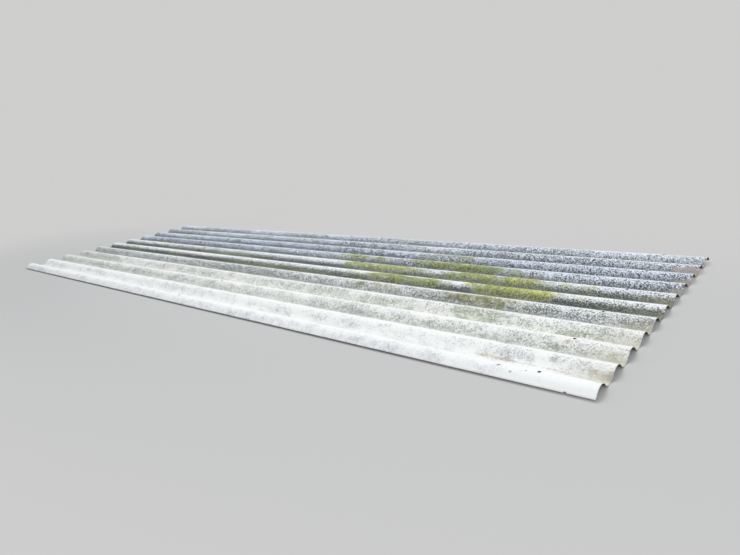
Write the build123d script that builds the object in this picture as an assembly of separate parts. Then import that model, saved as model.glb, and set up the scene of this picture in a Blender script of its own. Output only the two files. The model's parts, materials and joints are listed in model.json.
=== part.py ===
from build123d import *
from math import asin, cos, degrees, sin
import os

# A corrugated roofing sheet, lying flat with its crests up. All lengths are in millimetres.
# X runs along the corrugations, Y across them and Z up. The origin is under the middle of
# the sheet, on the surface that it lies on.

# Driving dimensions of the rolled sheet
sheet_length = 2438.4
crest_count = 11
pitch = 76.2
wave_depth = 17.5
steel_thickness = 0.6
edge_reach = 25.4

# Driving dimensions of the nail holes, which go through the crests in rows across the sheet
nail_hole_diameter = 6.5
nail_row_count = 3
nail_end_distance = 100.0
nail_crest_step = 2

# The middle surface is a chain of equal arcs, crest and valley in turn, each tangent to the next.
# An arc covers half a pitch, and wave_depth is the height from a valley to a crest.
quarter_pitch = pitch / 4
bend_radius = (quarter_pitch**2 + (wave_depth / 2) ** 2) / wave_depth
bend_half_angle = asin(quarter_pitch / bend_radius)
valley_height = steel_thickness / 2
crest_height = valley_height + wave_depth

first_crest_y = -pitch * (crest_count - 1) / 2
near_edge_y = first_crest_y - edge_reach
far_edge_y = -near_edge_y


def crest_y(index):
    """Place of a crest across the sheet, counted from the near edge."""
    return first_crest_y + index * pitch


def arc_angle(y, bend_y):
    """Angle from the vertical at which a bend reaches y, held to the bend's own arc."""
    sideways = max(-quarter_pitch, min(quarter_pitch, y - bend_y))
    return asin(sideways / bend_radius)


def skin_arc(bend_y, is_crest, from_y, to_y, offset):
    """One bend's arc in a surface that lies offset above the middle surface.

    The arc's centre is the same for every offset, so the sheet is equally thick all over.
    The result is None where the bend lies outside from_y and to_y.
    """
    start = arc_angle(from_y, bend_y)
    end = arc_angle(to_y, bend_y)
    if end - start < 1e-6:
        return None
    up = 1 if is_crest else -1
    radius = bend_radius + up * offset
    centre_z = crest_height - bend_radius if is_crest else valley_height + bend_radius
    arc_ends_and_middle = [
        (bend_y + radius * sin(angle), centre_z + up * radius * cos(angle))
        for angle in (start, (start + end) / 2, end)
    ]
    return ThreePointArc(*arc_ends_and_middle)


def skin_line(offset):
    """The wave of one surface, from the near edge to the far edge."""
    bends = []
    for index in range(crest_count + 1):
        bends.append((crest_y(index) - pitch / 2, False))
        bends.append((crest_y(index), True))
    arcs = [skin_arc(bend_y, is_crest, near_edge_y, far_edge_y, offset) for bend_y, is_crest in bends]
    return [arc for arc in arcs if arc is not None]


def wave_section():
    """The sheet's cross section, with its long edges cut square to the steel."""
    top = skin_line(steel_thickness / 2)
    under = skin_line(-steel_thickness / 2)
    near_cut = Line(under[0] @ 0, top[0] @ 0)
    far_cut = Line(top[-1] @ 1, under[-1] @ 1)
    return make_face(Wire(top + [far_cut] + under + [near_cut]).edges())


def nail_hole_places():
    """X and Y of each nail hole: rows across the sheet, through every nail_crest_step-th crest."""
    outer_row_x = sheet_length / 2 - nail_end_distance
    row_spacing = 2 * outer_row_x / (nail_row_count - 1)
    return [
        (-outer_row_x + row * row_spacing, crest_y(crest))
        for row in range(nail_row_count)
        for crest in range(0, crest_count, nail_crest_step)
    ]


def corrugated_sheet():
    """The whole sheet: one piece of steel, rolled to its wave, cut to length and nailed through."""
    section = Plane.YZ * wave_section()
    sheet = extrude(section, amount=sheet_length / 2, both=True)
    hole_height = crest_height + steel_thickness
    hole = Cylinder(nail_hole_diameter / 2, hole_height, align=(Align.CENTER, Align.CENTER, Align.MIN))
    return sheet - [Pos(x, y, 0) * hole for x, y in nail_hole_places()]


os.makedirs("parts", exist_ok=True)

sheet = corrugated_sheet()
sheet.label = "corrugated_sheet"
export_step(sheet, "parts/corrugated_sheet.step")

print(f"bend radius {bend_radius:.2f} mm through {degrees(2 * bend_half_angle):.1f} degrees")
print(f"overall width {far_edge_y - near_edge_y:.1f} mm, {len(nail_hole_places())} nail holes")
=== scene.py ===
"""A weathered corrugated roofing sheet, lying flat on a pale studio floor."""

import json
import logging
import math
import random
from dataclasses import dataclass, field
from enum import Enum
from functools import reduce
from typing import Iterator, Optional, Union

import bpy
from mathutils import Matrix, Vector, noise

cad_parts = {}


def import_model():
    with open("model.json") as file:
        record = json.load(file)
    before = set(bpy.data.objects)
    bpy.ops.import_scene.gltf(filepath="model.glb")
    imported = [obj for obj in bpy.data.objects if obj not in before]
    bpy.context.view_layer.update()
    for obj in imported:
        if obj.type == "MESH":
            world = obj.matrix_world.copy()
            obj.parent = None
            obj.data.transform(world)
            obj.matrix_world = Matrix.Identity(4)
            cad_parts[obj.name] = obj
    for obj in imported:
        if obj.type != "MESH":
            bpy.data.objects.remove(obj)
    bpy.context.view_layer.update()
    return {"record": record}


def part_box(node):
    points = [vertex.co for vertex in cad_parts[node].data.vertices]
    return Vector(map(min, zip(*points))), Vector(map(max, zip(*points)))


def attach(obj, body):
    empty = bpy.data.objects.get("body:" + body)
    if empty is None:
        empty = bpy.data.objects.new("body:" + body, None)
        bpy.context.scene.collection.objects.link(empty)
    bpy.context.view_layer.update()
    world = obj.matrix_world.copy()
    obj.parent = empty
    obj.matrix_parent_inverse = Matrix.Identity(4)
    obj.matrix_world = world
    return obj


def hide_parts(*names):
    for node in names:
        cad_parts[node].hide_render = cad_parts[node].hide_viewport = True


MM = 0.001
STEEL = 0.6 * MM
# How far the steel's skin stands out past its middle line, at the turned-down edges.
EDGE_LEAN = 0.16 * MM

NODE = "corrugated_sheet"
BODY = "root"
INNER_HOLES = "nail_holes_inner"

log = logging.getLogger("sheet")

Socket = bpy.types.NodeSocket
Colour = tuple[float, float, float]
Paint = Union[Socket, Colour]
Place = tuple[float, float]
Reach = tuple[float, float]
Face = tuple[int, ...]
Pair = tuple[int, int]
Spot = tuple[float, float, float]


def ripple(a: float, b: float, a_rate: float, b_rate: float, layer: float) -> float:
    """Smooth noise from about -1 to 1 at a place in metres, with the rates in features to a metre."""
    return noise.noise(Vector((a * a_rate, b * b_rate, layer)))


def new_object(name: str, vertices: list[Vector], faces: list[Face]) -> bpy.types.Object:
    """Makes an object with a mesh of its own.

    Args:
        name: Its name, and its mesh's.
        vertices: The mesh's points.
        faces: The numbers of each face's points.

    Returns:
        The object, linked to the scene.
    """
    mesh = bpy.data.meshes.new(name)
    mesh.from_pydata(vertices, [], faces)
    made = bpy.data.objects.new(name, mesh)
    bpy.context.scene.collection.objects.link(made)
    return made


class Skin(Enum):
    """The three kinds of surface on the sheet, by material number."""

    TOP = 0
    UNDER = 1
    CUT = 2


class Stain(Enum):
    """Named masks that the sheet's mesh carries for its finish."""

    MOSS = "moss"
    LICHEN = "lichen"
    RUST = "rust"
    SCOURED = "scoured"


@dataclass(frozen=True)
class Wave:
    """The rolled section: equal arcs, crest and valley in turn, tangent to each other.

    Lengths are in metres.
    """

    pitch: float
    depth: float
    thickness: float
    crest_count: int
    edge_reach: float

    @property
    def radius(self) -> float:
        """The bend radius of the middle surface."""
        return ((self.pitch / 4) ** 2 + (self.depth / 2) ** 2) / self.depth

    @property
    def half_angle(self) -> float:
        """The angle from a bend's middle to its end."""
        return math.asin(self.pitch / 4 / self.radius)

    @property
    def first_crest(self) -> float:
        """Place of the nearest crest across the sheet."""
        return -self.pitch * (self.crest_count - 1) / 2

    @property
    def near_edge(self) -> float:
        """Place of the near long edge across the sheet."""
        return self.first_crest - self.edge_reach

    def crest(self, index: float) -> float:
        """Place across the sheet of a crest, or of a point between two crests."""
        return self.first_crest + index * self.pitch

    def bend_at(self, y: float) -> tuple[int, float]:
        """The number of the bend at a place, even for a crest, and the angle from the bend's middle."""
        number = round((y - self.first_crest) / (self.pitch / 2))
        return number, math.asin(max(-1.0, min(1.0, (y - self.crest(number / 2)) / self.radius)))

    def middle(self, y: float) -> tuple[float, Vector]:
        """Height and upward normal of the middle surface.

        Args:
            y: The place across the sheet.

        Returns:
            The height above the floor, and the unit normal.
        """
        number, angle = self.bend_at(y)
        drop = self.radius * (1 - math.cos(angle))
        if number % 2 == 0:
            return self.thickness / 2 + self.depth - drop, Vector((0, math.sin(angle), math.cos(angle)))
        return self.thickness / 2 + drop, Vector((0, -math.sin(angle), math.cos(angle)))

    def developed(self, y: float) -> float:
        """Distance along the wave from the first crest to y."""
        number, angle = self.bend_at(y)
        return self.radius * (2 * self.half_angle * number + angle)

    def stations(self, per_bend: int) -> list[float]:
        """Places across the sheet at equal steps of angle, with both edges.

        Args:
            per_bend: Steps in one bend, an even number, so that each crest has a station.

        Returns:
            The places, from the near edge on.
        """
        step = 2 * self.half_angle / per_bend
        inner = (
            self.crest(bend / 2) + self.radius * math.sin(-self.half_angle + number * step)
            for bend in range(-1, 2 * self.crest_count)
            for number in range(per_bend)
        )
        return [self.near_edge, *(y for y in inner if abs(y) < -self.near_edge - MM), -self.near_edge]


@dataclass(frozen=True)
class Patch:
    """A soft-edged patch of a stain, laid out from the visible end and by crest number.

    Lengths are in millimetres. A crest number with a half is the valley beyond that crest. The cover
    is the core less the fall for each half width away, and the edge is ragged by a share of that.
    """

    stain: Stain
    crest: float
    from_end: float
    length: float
    width: float
    strength: float = 1.0
    ragged: float = 0.45
    core: float = 1.7
    fall: float = 1.3

    def cover(self, x: float, y: float, wave: Wave, end: float) -> float:
        """How strongly the patch covers a point.

        Args:
            x: Place along the sheet.
            y: Place across the sheet.
            wave: The sheet's section.
            end: Place of the visible end.

        Returns:
            The cover, from 0 to the patch's strength.
        """
        along = ((end - x) / MM - self.from_end) / (self.length / 2)
        across = (y - wave.crest(self.crest)) / MM / (self.width / 2)
        fray = ripple(x, y, 11, 26, self.crest) + 0.5 * ripple(x, y, 40, 60, 0.5)
        reach = math.hypot(along, across) + self.ragged * fray
        return self.strength * max(0.0, min(1.0, self.core - self.fall * reach))


# Each stain's patches: crest, distance from the visible end, length, width and strength.
STAINS: dict[Stain, tuple[tuple[float, ...], ...]] = {
    Stain.MOSS: (
        (3.80, 400, 260, 42, 0.75),
        (3.80, 700, 260, 36, 0.5),
        (4.78, 345, 330, 60),
        (4.78, 660, 440, 46, 0.85),
        (5.80, 420, 420, 52, 0.8),
        (5.80, 800, 420, 44, 0.75),
        (6.80, 560, 400, 48, 0.85),
        (6.80, 930, 300, 40, 0.6),
        (7.80, 660, 260, 40, 0.55),
    ),
    Stain.LICHEN: (
        (2.80, 355, 150, 50, 0.9),
        (1.68, 126, 50, 20, 0.8),
        (2.62, 150, 190, 18, 0.7),
        (3.75, 250, 120, 40, 0.6),
        (2.70, 620, 260, 40, 0.6),
        (5.80, 210, 120, 40, 0.5),
    ),
    Stain.RUST: (
        (0.61, 192, 120, 9),
        (0.60, 108, 110, 7, 0.8),
        (0.68, 18, 80, 24, 0.55),
        (1.86, 112, 20, 14),
        (6.62, 0, 84, 26, 0.9),
        (7.62, 0, 84, 28),
        (8.64, 0, 100, 36),
    ),
    Stain.SCOURED: (
        (0.8, 122, 30, 70),
        (-0.1, 70, 230, 70, 0.6),
    ),
}


@dataclass(frozen=True)
class Nick:
    """A small notch torn out of the near long edge. Lengths are in millimetres."""

    from_end: float = 48.0
    length: float = 7.0
    depth: float = 2.4
    rows: tuple[float, ...] = (-1, -0.4, 0, 0.4, 1)

    def bite(self, x: float, end: float) -> float:
        """How far the notch cuts into the steel at a place along the sheet, in metres."""
        along = abs((end - x) / MM - self.from_end) / (self.length / 2)
        return self.depth * MM * max(0.0, 1 - along)


@dataclass
class RolledSheet:
    """The sheet itself: a closed skin of steel with its waves, its nail holes and a nick in its edge."""

    wave: Wave
    length: float
    holes: list[Place]
    hole_radius: float
    patches: list[Patch]
    nick: Nick = Nick()
    per_bend: int = 10
    row_step: float = 16 * MM
    end_row: float = 3 * MM
    hole_rows: float = 4.3 * MM
    collars: tuple[float, ...] = (1.75, 1.3, 1.0)
    press_depth: float = 0.5 * MM
    press_reach: float = 11 * MM
    settling: float = 0.35 * MM
    wander: float = 0.5 * MM
    edge_fray: float = 0.15 * MM
    bay_count: int = 3
    map_gap: float = 10 * MM
    map_lip: float = 3 * MM
    places: list[Place] = field(default_factory=list)
    vertices: list[Vector] = field(default_factory=list)
    faces: list[Face] = field(default_factory=list)
    skins: list[Skin] = field(default_factory=list)
    lips: dict[int, Place] = field(default_factory=dict)

    @property
    def end(self) -> float:
        """Place of the visible end along the sheet."""
        return self.length / 2

    @property
    def bay(self) -> float:
        """Length of one bay of the flat map."""
        return self.length / self.bay_count

    def rows(self) -> list[float]:
        """Lays out the mesh's rows, closer together at the holes and ends.

        Returns:
            The rows' places along the sheet.
        """
        fixed = [-self.end, -self.end + self.end_row, self.end - self.end_row, self.end]
        fixed += [number * self.bay - self.end for number in range(1, self.bay_count)]
        nick_x = self.end - self.nick.from_end * MM
        fixed += [nick_x + share * self.nick.length * MM / 2 for share in self.nick.rows]
        for x in sorted({round(x, 6) for x, _ in self.holes}):
            fixed += [x + number * self.hole_rows for number in range(-2, 3)]
        fixed.sort()
        found: list[float] = []
        for low, high in zip(fixed, fixed[1:]):
            count = max(1, math.ceil((high - low) / self.row_step))
            found += [low + (high - low) * number / count for number in range(count)]
        return found + [self.end]

    def press(self, x: float, y: float) -> float:
        """How far a nail's washer has pressed the crest down at a point."""
        near = min(math.hypot(x - hole_x, y - hole_y) for hole_x, hole_y in self.holes)
        return self.press_depth * max(0.0, 1 - near / self.press_reach) ** 2

    def point(self, x: float, y: float) -> tuple[Vector, Vector]:
        """A point of the middle surface, as pressed and worn.

        Args:
            x: Place along the sheet.
            y: Place across the sheet.

        Returns:
            The point and its upward normal.
        """
        z, normal = self.wave.middle(y)
        height = (z - self.wave.thickness / 2) / self.wave.depth
        slack = 0.5 + 0.5 * ripple(x, y, 1.7, 5.0, 3.1)
        z -= height * (self.settling * slack + self.press(x, y))
        if abs(y) > abs(self.wave.near_edge) - MM:
            wander = self.wander * abs(ripple(x, y, 6.0, 0.4, 9.7))
            wander += self.edge_fray * abs(ripple(x, y, 60, 1, 1.0))
            if y < 0:
                wander += self.nick.bite(x, self.end)
            rise, _ = self.wave.middle(abs(y) - wander)
            z += rise - self.wave.middle(y)[0]
            y -= math.copysign(wander, y)
        if abs(x) > self.end - MM:
            x -= math.copysign(self.wander * abs(ripple(y, x, 70, 1, 4.0)), x)
        return Vector((x, y, z)), normal

    def add_pair(self, x: float, y: float) -> Pair:
        """Adds the top and under vertices at a place.

        Args:
            x: Place along the sheet.
            y: Place across the sheet.

        Returns:
            The two vertices' numbers.
        """
        middle, normal = self.point(x, y)
        half = normal * (self.wave.thickness / 2)
        self.places.append((x, y))
        self.vertices += [middle + half, middle - half]
        return len(self.vertices) - 2, len(self.vertices) - 1

    def add_face(self, corners: list[Pair]) -> None:
        """Adds a top face, its corners anticlockwise from above, and its partner beneath."""
        self.faces += [tuple(top for top, _ in corners), tuple(under for _, under in reversed(corners))]
        self.skins += [Skin.TOP, Skin.UNDER]

    def add_wall(self, a: Pair, b: Pair, outward: Place) -> None:
        """Adds the cut face between the skins.

        Args:
            a: The pair where the face starts, with the steel on the left of the way to b.
            b: The pair where it ends.
            outward: The way out of the steel, along and across the sheet.
        """
        self.lips[len(self.faces)] = outward
        self.faces.append((a[0], a[1], b[1], b[0]))
        self.skins.append(Skin.CUT)

    def punch(self, ring: list[Pair], centre: Place) -> None:
        """Fills the frame of vertices round a nail hole down to the hole's round rim.

        Args:
            ring: The frame's vertex pairs, anticlockwise from above.
            centre: The hole's place.
        """
        cx, cy = centre
        corners = [self.places[top // 2] for top, _ in ring]
        angles = [math.atan2(y - cy, x - cx) for x, y in corners]
        for collar in self.collars:
            radius = self.hole_radius * collar
            inner = [self.add_pair(cx + radius * math.cos(a), cy + radius * math.sin(a)) for a in angles]
            for number in range(len(ring)):
                after = (number + 1) % len(ring)
                self.add_face([ring[number], ring[after], inner[after], inner[number]])
            ring = inner
        for number, angle in enumerate(angles):
            outward = (-math.cos(angle), -math.sin(angle))
            self.add_wall(ring[number], ring[(number + 1) % len(ring)], outward)

    def lay_out(self) -> None:
        """Fills the vertex, face and skin lists."""
        rows, columns = self.rows(), self.wave.stations(self.per_bend)
        frames: dict[Pair, Place] = {}
        for x, y in self.holes:
            i = min(range(len(rows)), key=lambda number: abs(rows[number] - x))
            j = min(range(len(columns)), key=lambda number: abs(columns[number] - y))
            frames[(i, j)] = (x, y)
        inside = {(i + a, j + b) for i, j in frames for a in range(-1, 2) for b in range(-1, 2)}
        cells = {(i + a, j + b) for i, j in frames for a in range(-2, 2) for b in range(-2, 2)}
        grid = {
            (i, j): self.add_pair(x, y)
            for i, x in enumerate(rows)
            for j, y in enumerate(columns)
            if (i, j) not in inside
        }
        last_i, last_j = len(rows) - 1, len(columns) - 1
        for i in range(last_i):
            for j in range(last_j):
                if (i, j) not in cells:
                    self.add_face([grid[i, j], grid[i + 1, j], grid[i + 1, j + 1], grid[i, j + 1]])
        for i in range(last_i):
            self.add_wall(grid[i, 0], grid[i + 1, 0], (0, -1))
            self.add_wall(grid[i + 1, last_j], grid[i, last_j], (0, 1))
        for j in range(last_j):
            self.add_wall(grid[last_i, j], grid[last_i, j + 1], (1, 0))
            self.add_wall(grid[0, j + 1], grid[0, j], (-1, 0))
        for (i, j), centre in frames.items():
            walk = [(a, -2) for a in range(-2, 2)] + [(2, b) for b in range(-2, 2)]
            walk += [(a, 2) for a in range(2, -2, -1)] + [(-2, b) for b in range(2, -2, -1)]
            self.punch([grid[i + a, j + b] for a, b in walk], centre)

    def flatten(self, mesh: bpy.types.Mesh) -> None:
        """Lays the skins out flat: the top in bays at full scale, the under side at half.

        Args:
            mesh: The sheet's mesh.
        """
        low = self.wave.developed(self.wave.near_edge)
        tall = self.wave.developed(-self.wave.near_edge) - low
        gap = self.map_gap
        side = 2 * tall + 3 * gap
        flat = mesh.uv_layers.new(name="OFBake")
        for polygon, skin in zip(mesh.polygons, self.skins):
            middle = sum(self.places[number // 2][0] for number in polygon.vertices) / len(polygon.vertices)
            bay = min(self.bay_count - 1, int((middle + self.end) / self.bay))
            column, row = bay % 2, bay // 2
            lip = self.lips.get(polygon.index, (0.0, 0.0))
            for loop in polygon.loop_indices:
                number = mesh.loops[loop].vertex_index
                x, y = self.places[number // 2]
                u = x + self.end - bay * self.bay
                v = self.wave.developed(y) - low
                if skin is Skin.UNDER:
                    u = self.bay + gap + u / 2 + column * (self.bay / 2 + gap)
                    v = tall + gap + v / 2 + row * (tall / 2 + gap)
                else:
                    out = self.map_lip * (number % 2)
                    u += column * (self.bay + gap) + out * lip[0]
                    v += row * (tall + gap) + out * lip[1]
                flat.data[loop].uv = ((u + gap) / side, (v + gap) / side)

    def mark_stains(self, mesh: bpy.types.Mesh) -> None:
        """Writes each stain's mask on the mesh's points.

        Args:
            mesh: The sheet's mesh.
        """
        for stain in Stain:
            patches = [patch for patch in self.patches if patch.stain is stain]
            mask = mesh.attributes.new(stain.value, "FLOAT", "POINT")
            for number, vertex in enumerate(mesh.vertices):
                x, y, _ = vertex.co
                covers = (patch.cover(x, y, self.wave, self.end) for patch in patches)
                mask.data[number].value = max(covers, default=0.0)

    def build(self, name: str) -> bpy.types.Object:
        """Makes the sheet's object.

        Args:
            name: The object's name.

        Returns:
            The object, in the row frame.
        """
        self.lay_out()
        sheet = new_object(name, self.vertices, self.faces)
        for polygon, skin in zip(sheet.data.polygons, self.skins):
            polygon.material_index = skin.value
            polygon.use_smooth = skin is not Skin.CUT
        self.mark_stains(sheet.data)
        self.flatten(sheet.data)
        sheet.data.validate()
        return sheet

    def dress(self, sheet: bpy.types.Object, finishes: dict[Skin, "Finish"]) -> None:
        """Gives each skin of the sheet its finish."""
        for skin in Skin:
            sheet.data.materials.append(finishes[skin].material())


@dataclass
class MossCushions:
    """Small cushions of moss that grow where the moss stain is strong."""

    sheet: RolledSheet
    seed: int = 17
    tries: int = 16000
    least_cover: float = 0.45
    spill: float = 0.6
    smallest: float = 0.6 * MM
    largest: float = 1.9 * MM
    rarity: float = 2.2
    rise: float = 0.5
    sink: float = 0.2 * MM
    headroom: float = 0.05 * MM
    sides: int = 6

    def spots(self, draw: random.Random) -> Iterator[Spot]:
        """Picks where cushions grow: more of them, and larger ones, where the moss is thick.

        Args:
            draw: Where its random numbers come from.

        Yields:
            Each cushion's place along and across the sheet, and its mean radius.
        """
        sheet = self.sheet
        patches = [patch for patch in sheet.patches if patch.stain is Stain.MOSS]
        sizes = [patch.length * patch.width * patch.strength for patch in patches]
        for _ in range(self.tries):
            patch = draw.choices(patches, sizes)[0]
            x = sheet.end - (patch.from_end + draw.uniform(-self.spill, self.spill) * patch.length) * MM
            y = sheet.wave.crest(patch.crest) + draw.uniform(-self.spill, self.spill) * patch.width * MM
            cover = patch.cover(x, y, sheet.wave, sheet.end)
            clump = 0.5 + ripple(x, y, 45, 70, 2.0)
            if cover < self.least_cover or draw.random() > cover * cover * clump * clump * 1.8:
                continue
            extra = (self.largest - self.smallest) * draw.random() ** self.rarity
            yield x, y, self.smallest + extra * min(1.0, clump + 0.3)

    def cushion(self, x: float, y: float, radius: float, draw: random.Random) -> list[Vector]:
        """The points of one cushion, ring by ring from its foot to its top.

        Args:
            x: Its place along the sheet.
            y: Its place across the sheet.
            radius: Its mean radius.
            draw: Where its random numbers come from.

        Returns:
            Three rings, and the point at the top.
        """
        wave = self.sheet.wave
        top = wave.depth + wave.thickness - self.headroom
        _, tilt = wave.middle(y)
        stretch = draw.uniform(1.0, 1.5)
        height = radius * self.rise * draw.uniform(0.7, 1.2)
        wobble = [draw.uniform(0.75, 1.2) for _ in range(self.sides)]
        points = []
        for share, lift in ((1.0, -self.sink), (0.86, 0.45 * height), (0.5, 0.86 * height), (0.0, height)):
            for number in range(self.sides if share else 1):
                angle = 2 * math.pi * number / self.sides
                reach = radius * share * wobble[number]
                along = reach * stretch * math.cos(angle)
                across = reach * tilt.z * math.sin(angle)
                place, normal = self.sheet.point(x + along, y + across)
                spot = place + normal * (wave.thickness / 2 + lift)
                spot.z = min(spot.z, top)
                points.append(spot)
        return points

    def skin(self, start: int) -> list[Face]:
        """The faces of one cushion.

        Args:
            start: The number of its first point.

        Returns:
            Its foot, two bands of four-sided faces, and the faces that meet at its top.
        """
        count = self.sides
        faces = [tuple(start + number for number in reversed(range(count)))]
        for number in range(2 * count):
            ring = number // count * count
            a, b = start + number, start + ring + (number + 1) % count
            faces.append((a, b, b + count, a + count))
        upper, peak = start + 2 * count, start + 3 * count
        return faces + [(upper + number, upper + (number + 1) % count, peak) for number in range(count)]

    def build(self, name: str) -> bpy.types.Object:
        """Grows the cushions as one joined mesh.

        Args:
            name: The object's name.

        Returns:
            The object, in the row frame.
        """
        draw = random.Random(self.seed)
        vertices: list[Vector] = []
        faces: list[Face] = []
        for x, y, radius in self.spots(draw):
            faces += self.skin(len(vertices))
            vertices += self.cushion(x, y, radius, draw)
        cushions = new_object(name, vertices, faces)
        for polygon in cushions.data.polygons:
            polygon.use_smooth = True
        cushions.data.validate()
        return cushions

    def dress(self, cushions: bpy.types.Object, finish: "Finish") -> None:
        """Gives the cushions their finish."""
        cushions.data.materials.append(finish.material())


@dataclass(frozen=True)
class Value:
    """A number that the nodes work out, with the usual signs between numbers."""

    graph: "NodeGraph"
    socket: Socket

    def __add__(self, other: "Number") -> "Value":
        """The sum of two numbers."""
        return self.graph.maths("ADD", self, other)

    def __sub__(self, other: "Number") -> "Value":
        """The number less another."""
        return self.graph.maths("SUBTRACT", self, other)

    def __rsub__(self, other: float) -> "Value":
        """A plain number less this one."""
        return self.graph.maths("SUBTRACT", other, self)

    def __mul__(self, other: "Number") -> "Value":
        """The product of two numbers."""
        return self.graph.maths("MULTIPLY", self, other)

    def __truediv__(self, other: "Number") -> "Value":
        """The number divided by another."""
        return self.graph.maths("DIVIDE", self, other)

    def __pow__(self, other: float) -> "Value":
        """The number raised to a power."""
        return self.graph.maths("POWER", self, other)

    def __abs__(self) -> "Value":
        """The number without its sign."""
        return self.graph.maths("ABSOLUTE", self)

    def larger(self, other: "Number") -> "Value":
        """The larger of two numbers."""
        return self.graph.maths("MAXIMUM", self, other)

    def span(self, low: "Number", high: "Number", to_low: float = 0.0, to_high: float = 1.0) -> "Value":
        """Maps one range to another in a smooth step, held at both ends.

        Args:
            low: Where the step starts.
            high: Where it ends.
            to_low: Its value up to the start.
            to_high: Its value from the end on.

        Returns:
            The value in the new range.
        """
        inputs = {"Value": self, "From Min": low, "From Max": high, "To Min": to_low, "To Max": to_high}
        node = self.graph.add("MapRange", inputs, interpolation_type="SMOOTHSTEP")
        return Value(self.graph, node.outputs["Result"])


Number = Union[Value, float]
Layer = tuple[Value, Paint]
Inputs = dict[Union[str, int], Union[Number, Paint]]


class NodeGraph:
    """The nodes of a material or of the world, with a short call for each kind that is used."""

    rays = ("Camera", "Glossy", "Transmission")

    def __init__(self, holder: Union[bpy.types.Material, bpy.types.World]) -> None:
        """Clears the holder's nodes.

        Args:
            holder: What the nodes belong to.
        """
        holder.use_nodes = True
        self.tree = holder.node_tree
        self.tree.nodes.clear()
        self.place = self.add("TexCoord", {}).outputs["Object"]

    def add(self, kind: str, inputs: Inputs, **settings: object) -> bpy.types.Node:
        """Adds a node.

        Args:
            kind: Its type, without the ShaderNode that starts each.
            inputs: What goes into each of its inputs, by name or number.
            settings: Its options, by name.

        Returns:
            The node.
        """
        node = self.tree.nodes.new("ShaderNode" + kind)
        for name, value in settings.items():
            setattr(node, name, value)
        for key, value in inputs.items():
            socket, source = node.inputs[key], value.socket if isinstance(value, Value) else value
            if isinstance(source, bpy.types.NodeSocket):
                self.tree.links.new(source, socket)
            else:
                socket.default_value = (*source, 1.0) if socket.type == "RGBA" else source
        return node

    def maths(self, operation: str, *values: Number) -> Value:
        """A sum on numbers, such as ADD or SQRT."""
        node = self.add("Math", dict(enumerate(values)), operation=operation)
        return Value(self, node.outputs["Value"])

    def noise(self, size: float, detail: float, roughness: float, shift: float, along: float = 1.0) -> Value:
        """Cloudy noise from 0 to 1.

        Args:
            size: The size of its features, in millimetres.
            detail: How many finer layers it has.
            roughness: How strong the finer layers are.
            shift: Moves the pattern, so that two noises differ.
            along: How many times longer the features are along the sheet.

        Returns:
            The noise's value.
        """
        place = self.add("Mapping", {"Vector": self.place, "Scale": (1 / along, 1.0, 1.0)})
        inputs = {"W": shift, "Scale": 1 / (size * MM), "Detail": detail, "Roughness": roughness}
        inputs["Vector"] = place.outputs["Vector"]
        return Value(self, self.add("TexNoise", inputs, noise_dimensions="4D").outputs["Fac"])

    def dots(self, size: float) -> tuple[Value, ...]:
        """Small cells, each with its own random values.

        Args:
            size: The distance between cells, in millimetres.

        Returns:
            Three independent values from 0 to 1, the same all over a cell.
        """
        cells = self.add("TexVoronoi", {"Vector": self.place, "Scale": 1 / (size * MM)})
        split = self.add("SeparateColor", {"Color": cells.outputs["Color"]})
        return tuple(Value(self, split.outputs[name]) for name in ("Red", "Green", "Blue"))

    def axes(self) -> tuple[Value, ...]:
        """X, Y and Z of the place in the row frame."""
        node = self.add("SeparateXYZ", {"Vector": self.place})
        return tuple(Value(self, node.outputs[name]) for name in "XYZ")

    def mask(self, stain: Stain) -> Value:
        """One of the masks that the mesh carries."""
        return Value(self, self.add("Attribute", {}, attribute_name=stain.value).outputs["Fac"])

    def seen(self) -> Value:
        """1 for what the camera sees, also in gloss and through glass, and 0 for what gives light."""
        path = self.add("LightPath", {}).outputs
        return reduce(Value.larger, (Value(self, path[f"Is {ray} Ray"]) for ray in self.rays))

    def ramp(self, value: Value, levels: dict[float, float]) -> Value:
        """Looks a value up among levels, with straight lines between them.

        Args:
            value: The value, from 0 to 1.
            levels: Each level, by its place along the value.

        Returns:
            The level at the value.
        """
        node = self.add("ValToRGB", {"Fac": value})
        elements = node.color_ramp.elements
        while len(elements) < len(levels):
            elements.new(0.5)
        for element, (place, level) in zip(elements, levels.items()):
            element.position = place
            element.color = (level, level, level, 1.0)
        return Value(self, node.outputs["Color"])

    def blend(self, amount: Number, under: Paint, over: Paint) -> Socket:
        """Lays one colour over another, by an amount from 0 to 1."""
        # Inputs 6 and 7 and output 2 of this node are the ones for colours.
        return self.add("Mix", {0: amount, 6: under, 7: over}, data_type="RGBA").outputs[2]

    def layered(self, colour: Paint, layers: list[Layer]) -> Paint:
        """Lays colours over one another, each by its own amount."""
        return reduce(lambda under, layer: self.blend(layer[0], under, layer[1]), layers, colour)

    def surface(self, colour: Paint, roughness: Number, height: Optional[Value] = None, relief: float = 0.0,
                metallic: float = 0.0, gloss: float = 0.5) -> Socket:
        """Adds a surface shader.

        Args:
            colour: The base colour.
            roughness: How matt the surface is.
            height: A bump, from 0 to 1, if it has one.
            relief: The bump's height in metres.
            metallic: How far the surface is bare metal.
            gloss: How strong its sheen is at every angle.

        Returns:
            The shader.
        """
        inputs = {"Base Color": colour, "Roughness": roughness, "Metallic": metallic}
        inputs["Specular IOR Level"] = gloss
        if height is not None:
            bump = self.add("Bump", {"Strength": 1.0, "Distance": relief, "Height": height})
            inputs["Normal"] = bump.outputs["Normal"]
        return self.add("BsdfPrincipled", inputs).outputs["BSDF"]

    def mix(self, amount: Value, shader: Socket, other: Socket) -> Socket:
        """Mixes two shaders, by the other one's share from 0 to 1."""
        return self.add("MixShader", {0: amount, 1: shader, 2: other}).outputs["Shader"]


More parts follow.
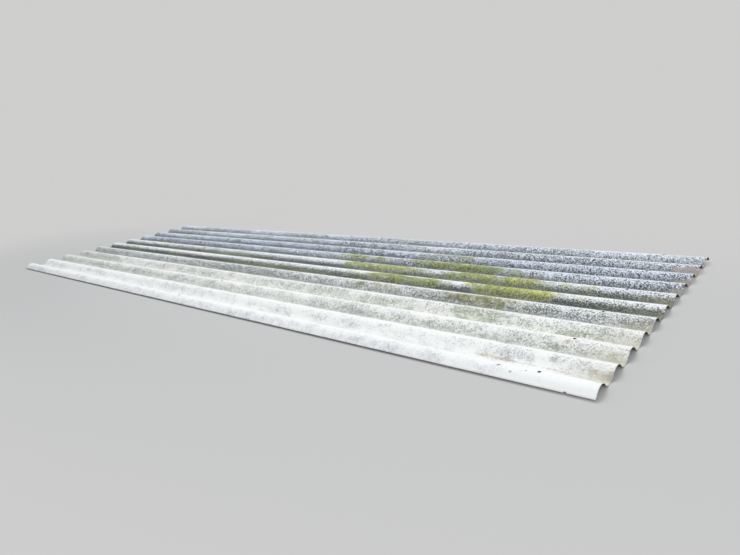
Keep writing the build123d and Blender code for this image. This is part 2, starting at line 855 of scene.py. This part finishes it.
@dataclass(frozen=True)
class Finish:
    """What every finish has: a name for its material, and a way to shade it."""

    name: str

    def shade(self, g: NodeGraph) -> Socket:
        """Lays out the finish's nodes, and gives its shader."""
        raise NotImplementedError

    def material(self) -> bpy.types.Material:
        """Makes the finish's material.

        Returns:
            The material, with its nodes.
        """
        material = bpy.data.materials.new(self.name)
        g = NodeGraph(material)
        g.add("OutputMaterial", {"Surface": self.shade(g)})
        return material


@dataclass(frozen=True)
class Mark:
    """A small dark mark on the zinc, an ellipse turned on the surface. Lengths are in millimetres."""

    crest: float
    from_end: float
    length: float
    width: float
    turn: float
    strength: float


@dataclass(frozen=True)
class RowTone:
    """How the slope up to one crest has weathered. Amounts run from 0 to 1.

    Attributes:
        crest: The crest's number.
        speckled: How densely specks lie on its upper slope.
        bold: How dark its specks are.
        foot: How dark its foot is, with grime and painted shade.
        warm: How creamy its pale ground is, and how olive its specks are.
        sky_reflection: How blue its pale ground and pale flecks are, a painted reflection of the sky.
    """

    crest: int
    speckled: float
    bold: float
    foot: float
    warm: float
    sky_reflection: float


class ZincPoint:
    """What the layers need to know of a shaded point on the weathered side, as node values."""

    def __init__(self, g: NodeGraph, zinc: "WeatheredZinc") -> None:
        """Works out the point's place, its row's tones, the noises there and the moss.

        Args:
            g: The material's nodes.
            zinc: The finish that they belong to.
        """
        self.graph = g
        x, y, _ = g.axes()
        self.from_end = (zinc.end - x) / MM
        self.row = (y - zinc.wave.first_crest) / zinc.wave.pitch
        phase = g.maths("FRACT", self.row + 10.0)
        self.valley = 1.0 - abs(phase - 0.5) * 2.0

        count = len(zinc.tones)
        place = (self.row + 0.5) / count
        self.speckled, self.bold, self.foot, self.warm, self.sky_reflection = (
            g.ramp(place, {(tone.crest + 0.25) / count: getattr(tone, name) for tone in zinc.tones})
            for name in ("speckled", "bold", "foot", "warm", "sky_reflection")
        )

        self.weather = g.noise(120, 3, 0.6, 1.0, along=3.0)
        self.speck = g.noise(3.6, 4, 0.85, 3.0)
        self.grit = g.noise(1.2, 2, 0.7, 4.0)
        self.salt = g.noise(3.3, 3, 0.8, 5.0)
        self.mat = g.noise(4.2, 4, 0.85, 6.0)
        self.haze = g.noise(9.0, 5, 0.8, 7.0)
        self.pepper = g.noise(3.0, 2, 0.7, 8.0)
        self.clump = g.noise(24, 4, 0.62, 2.0, along=1.6)
        self.drift = self.clump - 0.5
        self.dark_dot, self.pale_dot, self.depth = g.dots(2.8)

        moss = g.mask(Stain.MOSS) + self.drift * 1.4 + (self.haze - 0.5) * 1.6
        self.moss = (moss + self.valley.span(0.1, 0.8, 0.1, -0.12)).span(0.15, 0.95, 0.0, 0.97)


@dataclass(frozen=True)
class WeatheredZinc(Finish):
    """The rained-on side: chalky zinc with dark lichen specks, green and brown in the valleys.

    Reaches are in millimetres from the visible end, and rows are crest numbers. The worn crest
    highlight line is where the clean band along each crest fades, in shares of the way from crest to
    valley; the band is partly real wear and partly a painted highlight.
    """

    wave: Wave
    end: float
    tones: tuple[RowTone, ...] = (
        RowTone(0, 0.14, 0.12, 0.00, 0.0, 0.0),
        RowTone(1, 0.00, 0.20, 0.06, 0.2, 0.0),
        RowTone(2, 0.14, 0.54, 0.22, 0.5, 0.0),
        RowTone(3, 0.26, 0.50, 0.00, 0.8, 0.0),
        RowTone(4, 0.56, 0.80, 0.20, 0.4, 0.2),
        RowTone(5, 0.00, 1.00, 1.00, 0.0, 0.2),
        RowTone(6, 0.08, 1.00, 0.88, 0.3, 0.5),
        RowTone(7, 0.44, 0.95, 0.50, 0.1, 0.8),
        RowTone(8, 0.34, 0.95, 0.50, 0.0, 1.0),
        RowTone(9, 0.42, 0.95, 0.50, 0.2, 0.9),
        RowTone(10, 0.38, 0.85, 0.40, 0.2, 0.8),
    )
    small_marks: tuple[Mark, ...] = (
        Mark(-0.065, 172, 7.0, 2.6, -45, 1.0),
        Mark(-0.18, 146, 5.5, 3.6, 10, 0.5),
        Mark(-0.07, 121, 3.6, 3.2, 0, 0.5),
    )
    chalk: Colour = (0.94, 0.95, 0.94)
    # Painted reflection of the sky: the blue of the far rows' pale ground and flecks.
    chalk_sky_reflection: Colour = (0.47, 0.525, 0.68)
    salt_sky_reflection: Colour = (0.78, 0.85, 0.96)
    chalk_warm: Colour = (0.84, 0.84, 0.72)
    speck_dark: Colour = (0.030, 0.044, 0.060)
    speck_soft: Colour = (0.45, 0.49, 0.57)
    speck_olive: Colour = (0.27, 0.29, 0.23)
    # Grime and painted shade: the near-black at the foot of each slope.
    valley_grime_and_shade: Colour = (0.060, 0.070, 0.078)
    algae: Colour = (0.235, 0.25, 0.15)
    moss: Colour = (0.29, 0.34, 0.075)
    moss_lit: Colour = (0.72, 0.73, 0.22)
    moss_dark: Colour = (0.07, 0.08, 0.025)
    moss_dry: Colour = (0.24, 0.20, 0.10)
    lichen: Colour = (0.53, 0.60, 0.38)
    lichen_deep: Colour = (0.27, 0.34, 0.19)
    rust: Colour = (0.47, 0.33, 0.25)
    khaki: Colour = (0.51, 0.49, 0.37)
    residue: Colour = (0.34, 0.265, 0.27)
    moss_lit_reach: Reach = (200.0, 460.0)
    moss_dry_rows: Reach = (4.8, 4.1)
    fine_rows: Reach = (1.0, 5.0)
    khaki_reach: Reach = (110.0, 8.0)
    rust_grey_reach: Reach = (80.0, 40.0)
    rust_grey_rows: Reach = (4.0, 6.0)
    # Where the crests' clean band, partly a painted highlight, fades.
    worn_crest_highlight_line: Reach = (0.09, 0.02)
    relief: float = 0.25 * MM
    gloss: float = 0.12

    def ground(self, at: ZincPoint) -> list[Layer]:
        """The painted sky reflection and the warm tone of the chalky zinc, the lichen, and the moss's green
        film with its painted highlight and shade.

        Args:
            at: The shaded point.

        Returns:
            Their layers, from below upwards.
        """
        g = at.graph
        # Painted reflection of the sky: the far rows' pale ground turns blue.
        sky_reflection = at.sky_reflection * at.weather.span(0.3, 0.6, 0.5, 1.0)
        warm = at.valley.span(0.05, 0.7, 0.5, 1.0) * at.weather.span(0.38, 0.6, 0.4, 1.0) * at.warm
        lichen = (g.mask(Stain.LICHEN) + at.drift * 2.6).span(0.3, 0.9, 0.0, 0.85)
        crust = g.blend(at.mat.span(0.46, 0.60), self.lichen, self.lichen_deep)
        # Painted highlight and shade: the moss film is lighter toward the crests and near the visible end,
        # and darker toward the valleys and farther along the sheet.
        lit = at.valley.span(0.02, 0.75, 0.62, 0.0) + at.drift * 4.0
        lit = lit + at.from_end.span(*self.moss_lit_reach, 0.45, -0.1)
        shade = at.valley + (at.mat - 0.5) * 1.6
        green = g.layered(self.moss, [
            (lit.span(0.4, 1.4), self.moss_lit),
            (shade.span(0.32, 0.92, 0.0, 0.88), self.moss_dark),
            (at.row.span(*self.moss_dry_rows, 0.0, 0.55), self.moss_dry),
            (at.mat.span(0.50, 0.58, 0.0, 0.85), self.moss_dark),
            (at.mat.span(0.47, 0.40, 0.0, 0.8), self.moss_lit),
        ])
        return [
            (sky_reflection, self.chalk_sky_reflection),
            (warm, self.chalk_warm),
            (lichen * at.mat.span(0.38, 0.50, 0.35, 1.0), crust),
            (at.moss, green),
        ]

    def specks(self, at: ZincPoint) -> tuple[Value, Value]:
        """The dark specks, in blots and in fine dots.

        Args:
            at: The shaded point.

        Returns:
            How densely specks lie, and how fully a speck covers the point.
        """
        cover = (
            at.speckled
            + at.drift * at.row.span(1.1, 1.9, 1.7, 1.1)
            + at.weather.span(0.35, 0.65, -0.16, 0.16)
            # Partly painted shade: denser specks toward the valleys of rows with a dark foot.
            + at.valley.span(0.2, 0.8) * at.foot * 0.6
            + at.valley.span(0.0, 0.3, -0.18, 0.0)
            + at.from_end.span(0.0, 30.0, -0.05, 0.0)
            - at.graph.mask(Stain.SCOURED) * 0.8
            - at.moss * 0.35
        )
        edge = 0.60 - cover * 0.20
        blots = at.speck.span(edge - 0.03, edge + 0.04)
        fine = at.pepper.span(edge, edge + 0.03)
        least = 0.88 - cover * 0.45
        dots = at.dark_dot.span(least, least + 0.05) * at.depth.span(0.0, 0.5, 0.65, 1.0)
        fine = (fine * 0.5).larger(dots)
        specks = blots.larger(fine * at.row.span(*self.fine_rows, 0.45, 1.0))
        return cover, specks * at.row.span(0.2, 0.9, 0.45, 1.0)

    def speckling(self, at: ZincPoint, cover: Value, specks: Value) -> list[Layer]:
        """The haze between the dark specks, the specks, the grit and the pale flecks.

        Args:
            at: The shaded point.
            cover: How densely specks lie there.
            specks: How fully a speck covers the point.

        Returns:
            Their layers, from below upwards.
        """
        g = at.graph
        haze = at.haze.span(0.44, 0.58) * cover.span(-0.1, 0.6, 0.05, 0.6)
        haze = haze * at.moss.span(0.0, 0.8, 1.0, 0.15)
        tint = g.blend(at.bold, self.speck_soft, self.speck_dark)
        tint = g.layered(tint, [(at.warm * 0.85, self.speck_olive), (at.moss * 0.6, self.moss_dark)])
        flecks = at.salt.span(0.56, 0.59).larger(at.pale_dot.span(0.76, 0.82))
        flecks = flecks * at.row.span(*self.fine_rows, 0.4, 1.0)
        flecks = flecks * at.moss.span(0.0, 0.8, 1.0, 0.1) * at.valley.span(0.35, 0.8, 1.0, 0.55)
        return [
            (haze, g.blend(at.warm, self.speck_soft, self.speck_olive)),
            (specks, tint),
            (at.grit.span(0.5, 0.72, 0.0, 0.2), self.speck_soft),
            # Painted reflection of the sky: the pale flecks turn blue on the far rows.
            (flecks, g.blend(at.sky_reflection, self.chalk, self.salt_sky_reflection)),
        ]

    def stains(self, at: ZincPoint) -> list[Layer]:
        """Valley grime and painted shade, khaki at the visible end, rust, worn highlighted crests, marks.

        Args:
            at: The shaded point.

        Returns:
            Their layers, from below upwards.
        """
        # Painted shade, partly real grime: each slope darkens toward its valley by its row's foot level.
        foot = (at.valley + (at.speck - 0.5) * 1.2 + at.foot * 0.21).span(0.48, 0.76)
        foot = foot * at.foot * at.moss.span(0.2, 0.9, 1.0, 0.4)
        mild = at.weather + at.warm * 0.14 + (at.haze - 0.5) * 0.45
        foot_grime_and_shade = at.graph.layered(self.valley_grime_and_shade, [
            (mild.span(0.50, 0.70), self.algae),
            (at.pepper.span(0.47, 0.56, 0.0, 0.7), self.valley_grime_and_shade),
            (at.salt.span(0.52, 0.60, 0.0, 0.35), self.lichen),
        ])
        khaki = at.from_end.span(*self.khaki_reach) * at.valley.span(0.2, 0.85, 0.12, 0.85)
        khaki = khaki * at.haze.span(0.40, 0.60, 0.55, 1.0)
        khaki = khaki * at.row.span(0.0, 0.4, 0.1, 1.0) * at.row.span(3.6, 4.6, 1.0, 0.3)

        rust = (at.graph.mask(Stain.RUST) + at.drift * 2.2).span(0.3, 1.0, 0.0, 0.85)
        rust = rust * at.speck.span(0.40, 0.52, 0.3, 1.0)
        grey = at.row.span(*self.rust_grey_rows).larger(at.from_end.span(*self.rust_grey_reach, 0.0, 0.85))
        tint = at.graph.layered(self.rust, [
            (grey, self.residue),
            (at.speck.span(0.4, 0.6, 0.0, 0.6), self.khaki),
        ])
        # Painted highlight, partly real wear: a thin band of clean chalk along each crest.
        worn_crest_highlight = at.valley.span(*self.worn_crest_highlight_line) * at.clump.span(0.3, 0.6, 0.2, 0.75)
        worn_crest_highlight = worn_crest_highlight * at.moss.span(0.2, 0.8, 1.0, 0.0)
        return [
            (foot, foot_grime_and_shade),
            (khaki, self.khaki),
            (rust, tint),
            (worn_crest_highlight, self.chalk),
            (self.marks(at), self.speck_dark),
        ]

    def marks(self, at: ZincPoint) -> Value:
        """Where the small dark marks lie.

        Args:
            at: The shaded point.

        Returns:
            How dark a mark is there.
        """
        spots = []
        for mark in self.small_marks:
            along = at.from_end - mark.from_end
            across = (at.row - mark.crest) * (self.wave.pitch / MM)
            turn = math.radians(mark.turn)
            u = along * math.cos(turn) + across * math.sin(turn)
            v = across * math.cos(turn) - along * math.sin(turn)
            away = abs(u / (mark.length / 2)) ** 2.0 + abs(v / (mark.width / 2)) ** 2.0
            spots.append(away.span(1.5, 0.5, 0.0, mark.strength))
        return reduce(Value.larger, spots)

    def shade(self, g: NodeGraph) -> Socket:
        """Lays the finish's layers on one another.

        Args:
            g: The material's nodes.

        Returns:
            The shader.
        """
        at = ZincPoint(g, self)
        cover, specks = self.specks(at)
        layers = self.ground(at) + self.speckling(at, cover, specks) + self.stains(at)
        colour = g.layered(self.chalk, layers)
        height = specks * 0.5 + at.grit * 0.5
        roughness = at.weather.span(0.3, 0.7, 0.6, 0.75) + specks * 0.2
        return g.surface(colour, roughness, height, self.relief, gloss=self.gloss)


@dataclass(frozen=True)
class StainedShadedUnderside(Finish):
    """The sheltered side: dull zinc with brown staining, its dark tone partly painted shade."""

    # Painted shade, partly the zinc's own tone: the near-black of the shaded underside.
    dull: Colour = (0.105, 0.10, 0.085)
    brown: Colour = (0.088, 0.066, 0.042)
    relief: float = 0.2 * MM
    metallic: float = 0.2

    def shade(self, g: NodeGraph) -> Socket:
        """Lays brown clouds over the dull zinc.

        Args:
            g: The material's nodes.

        Returns:
            The shader.
        """
        cloud = g.noise(120, 4, 0.6, 11.0, along=3.0)
        grit = g.noise(3.0, 3, 0.7, 12.0)
        colour = g.blend(cloud.span(0.4, 0.65), self.dull, self.brown)
        return g.surface(colour, grit.span(0.3, 0.7, 0.5, 0.8), grit, self.relief, self.metallic)


@dataclass(frozen=True)
class Moss(Finish):
    """Short moss: yellow-green where the light reaches it, dark olive beneath."""

    bright: Colour = (0.43, 0.47, 0.15)
    olive: Colour = (0.24, 0.28, 0.075)
    dry: Colour = (0.42, 0.38, 0.20)
    matt: float = 0.95
    relief: float = 0.6 * MM
    gloss: float = 0.1

    def shade(self, g: NodeGraph) -> Socket:
        """Mottles the green by tufts, and lays olive and dry patches over it.

        Args:
            g: The material's nodes.

        Returns:
            The shader.
        """
        tuft = g.noise(1.4, 3, 0.7, 32.0)
        colour = g.layered(self.olive, [
            (tuft.span(0.42, 0.6), self.bright),
            (g.noise(30, 3, 0.6, 31.0).span(0.5, 0.68, 0.0, 0.6), self.olive),
            (g.noise(9, 3, 0.6, 33.0).span(0.58, 0.7, 0.0, 0.7), self.dry),
        ])
        return g.surface(colour, self.matt, tuft, self.relief, gloss=self.gloss)


@dataclass(frozen=True)
class CutSteel(Finish):
    """The cut edges: dull steel, pale partly from wear and partly as a painted highlight on the thin edge.
    """

    # Painted highlight, partly the steel's own tone: pale enough to show as a lit line on the edge.
    pale: Colour = (0.70, 0.68, 0.60)
    dark: Colour = (0.18, 0.14, 0.10)
    matt: float = 0.5
    relief: float = 0.1 * MM

    def shade(self, g: NodeGraph) -> Socket:
        """Blotches the pale steel with dark."""
        worn = g.noise(12, 4, 0.7, 21.0)
        return g.surface(g.blend(worn.span(0.45, 0.65), self.pale, self.dark), self.matt, worn, self.relief)


@dataclass(frozen=True)
class StudioFloor(Finish):
    """A plain pale floor that fades to the backdrop's colour and keeps the sheet's shadow."""

    backdrop: Colour
    tint: Colour = (0.55, 0.55, 0.545)
    fade: Reach = (0.36, 1.1)
    squash: float = 0.42
    shift: float = 0.22

    def shade(self, g: NodeGraph) -> Socket:
        """Fades the floor to the backdrop away from the sheet.

        Args:
            g: The material's nodes.

        Returns:
            The shader.
        """
        x, y, _ = g.axes()
        away = g.maths("SQRT", (abs(x) * self.squash) ** 2.0 + abs(y + self.shift) ** 2.0)
        faded = g.seen() * away.span(*self.fade)
        plain = g.add("Emission", {"Color": self.backdrop}).outputs["Emission"]
        return g.mix(faded, g.surface(self.tint, 1.0, gloss=0.0), plain)


@dataclass(frozen=True)
class Softbox:
    """A square lamp. Lengths are in metres, and its power is in watts."""

    name: str
    place: Spot
    aim: Spot
    size: float
    power: float

    def build(self) -> None:
        """Hangs the lamp in its place."""
        light = bpy.data.lights.new(self.name, "AREA")
        light.size = self.size
        light.energy = self.power
        holder = bpy.data.objects.new(self.name, light)
        holder.location = self.place
        holder.rotation_mode = "QUATERNION"
        holder.rotation_quaternion = (Vector(self.aim) - Vector(self.place)).to_track_quat("-Z", "Y")
        bpy.context.scene.collection.objects.link(holder)


@dataclass(frozen=True)
class Studio:
    """The floor, the lights and the camera. Lengths are in metres, the lens in millimetres."""

    floor_size: float = 60.0
    backdrop: Colour = (0.62, 0.62, 0.615)
    sky: Colour = (0.93, 0.96, 1.0)
    sky_strength: float = 0.42
    lamps: tuple[Softbox, ...] = (
        Softbox("key_light", (-0.4, 2.0, 3.8), (0.3, 0, 0), 2.4, 122),
        Softbox("fill_light", (2.5, -3.0, 2.6), (0.2, 0, 0), 3.0, 72),
    )
    eye: Spot = (1.49, -1.17, 0.45)
    aim: Spot = (0.42, 0.0, 0.0)
    tilt: float = math.radians(-7)
    lens: float = 27.05
    film: float = 36.0

    def build_floor(self) -> bpy.types.Object:
        """Makes the floor, level with the sheet's valleys.

        Returns:
            The floor's object.
        """
        half = self.floor_size / 2
        corners = [Vector((a * half, b * half, 0)) for a, b in ((-1, -1), (1, -1), (1, 1), (-1, 1))]
        floor = new_object("floor", corners, [(0, 1, 2, 3)])
        floor.data.materials.append(StudioFloor("studio_floor", self.backdrop).material())
        return floor

    def light(self) -> None:
        """Sets the softboxes and the pale surroundings."""
        for lamp in self.lamps:
            lamp.build()
        world = bpy.data.worlds.new("surroundings")
        g = NodeGraph(world)
        lit, shown = (
            g.add("Background", {"Color": colour, "Strength": strength}).outputs["Background"]
            for colour, strength in ((self.sky, self.sky_strength), (self.backdrop, 1.0))
        )
        g.add("OutputWorld", {"Surface": g.mix(g.seen(), lit, shown)})
        bpy.context.scene.world = world

    def set_camera(self) -> None:
        """Places the camera at the photograph's angle."""
        data = bpy.data.cameras.new("camera")
        data.sensor_width = self.film
        data.lens = self.lens
        camera = bpy.data.objects.new("camera", data)
        eye = Vector(self.eye)
        turn = (Vector(self.aim) - eye).to_track_quat("-Z", "Y").to_matrix().to_4x4()
        camera.matrix_world = Matrix.Translation(eye) @ turn @ Matrix.Rotation(self.tilt, 4, "Z")
        bpy.context.scene.collection.objects.link(camera)
        bpy.context.scene.camera = camera

    def build(self) -> None:
        """Makes the whole studio."""
        self.build_floor()
        self.light()
        self.set_camera()
        bpy.context.scene.view_settings.view_transform = "Standard"


def mount_sizes(frame: dict, name: str) -> dict:
    """The dimensions of one of the record's mounts, in millimetres."""
    return next(mount["dims"] for mount in frame["record"]["mounts"] if mount["name"] == name)


def wave_from_frame(frame: dict) -> Wave:
    """Reads the section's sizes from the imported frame.


    Returns:
        The rolled section.
    """
    low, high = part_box(NODE)
    pitch = mount_sizes(frame, INNER_HOLES)["spacing_y_mm"] * MM / 2
    crest_count = round((high.y - low.y) / pitch)
    edge_reach = (high.y - low.y - (crest_count - 1) * pitch) / 2 - EDGE_LEAN
    return Wave(pitch, high.z - low.z - STEEL, STEEL, crest_count, edge_reach)


def holes_from_frame(frame: dict) -> list[Place]:
    """Places the nail holes: the record's rectangles, and the middle row between them.


    Returns:
        The holes' places along and across the sheet.
    """
    places = set()
    for mount in frame["record"]["mounts"]:
        if mount["kind"] == "bolt_pattern":
            half_x = mount["dims"]["spacing_x_mm"] * MM / 2
            half_y = mount["dims"]["spacing_y_mm"] * MM / 2
            places |= {(x, y) for x in (-half_x, 0.0, half_x) for y in (-half_y, half_y)}
    return sorted(places)


def main() -> None:
    """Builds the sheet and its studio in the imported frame."""
    logging.basicConfig(level=logging.INFO, format="%(message)s")
    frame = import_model()
    wave = wave_from_frame(frame)
    low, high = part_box(NODE)
    rolled = RolledSheet(
        wave=wave,
        length=high.x - low.x,
        holes=holes_from_frame(frame),
        hole_radius=mount_sizes(frame, INNER_HOLES)["hole_r_mm"] * MM,
        patches=[Patch(stain, *sizes) for stain, rows in STAINS.items() for sizes in rows],
    )
    sheet = rolled.build("weathered_sheet")
    finishes = {
        Skin.TOP: WeatheredZinc("weathered_zinc", wave, rolled.end),
        Skin.UNDER: StainedShadedUnderside("stained_shaded_underside"),
        Skin.CUT: CutSteel("cut_steel"),
    }
    rolled.dress(sheet, finishes)
    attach(sheet, BODY)
    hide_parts(NODE)
    log.info("weathered_sheet: %d faces, %d holes", len(sheet.data.polygons), len(rolled.holes))
    cushions = MossCushions(rolled)
    moss = cushions.build("moss_cushions")
    cushions.dress(moss, Moss("moss"))
    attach(moss, BODY)
    log.info("moss_cushions: %d faces", len(moss.data.polygons))
    Studio().build()


if __name__ == "__main__":
    main()
